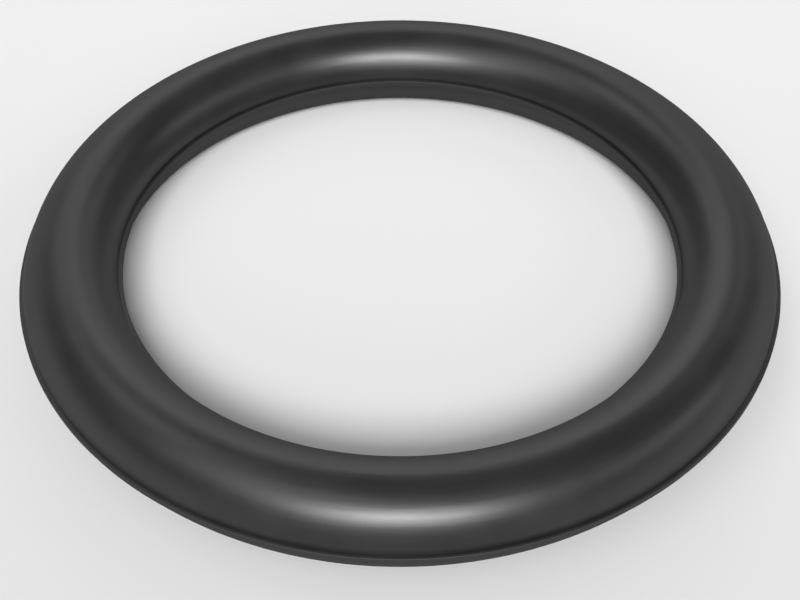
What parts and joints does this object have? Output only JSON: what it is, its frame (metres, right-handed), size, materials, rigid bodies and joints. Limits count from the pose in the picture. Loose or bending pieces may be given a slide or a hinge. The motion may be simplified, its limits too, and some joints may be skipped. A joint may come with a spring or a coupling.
{
  "type": "o-ring",
  "caption": "Round-section rubber sealing ring, lying flat, with a thin flash rib round its mid-plane inside and outside.",
  "frame": {"origin": "centre of the ring, halfway up its thickness", "axes": "+Z along the ring's axis, so the ring lies flat in the XY plane"},
  "size_m": [0.0292, 0.0292, 0.0036],
  "materials": {
    "rubber": "satin moulded surface"
  },
  "bodies": {
    "root": {"o_ring": "rubber"}
  },
  "joints": []
}
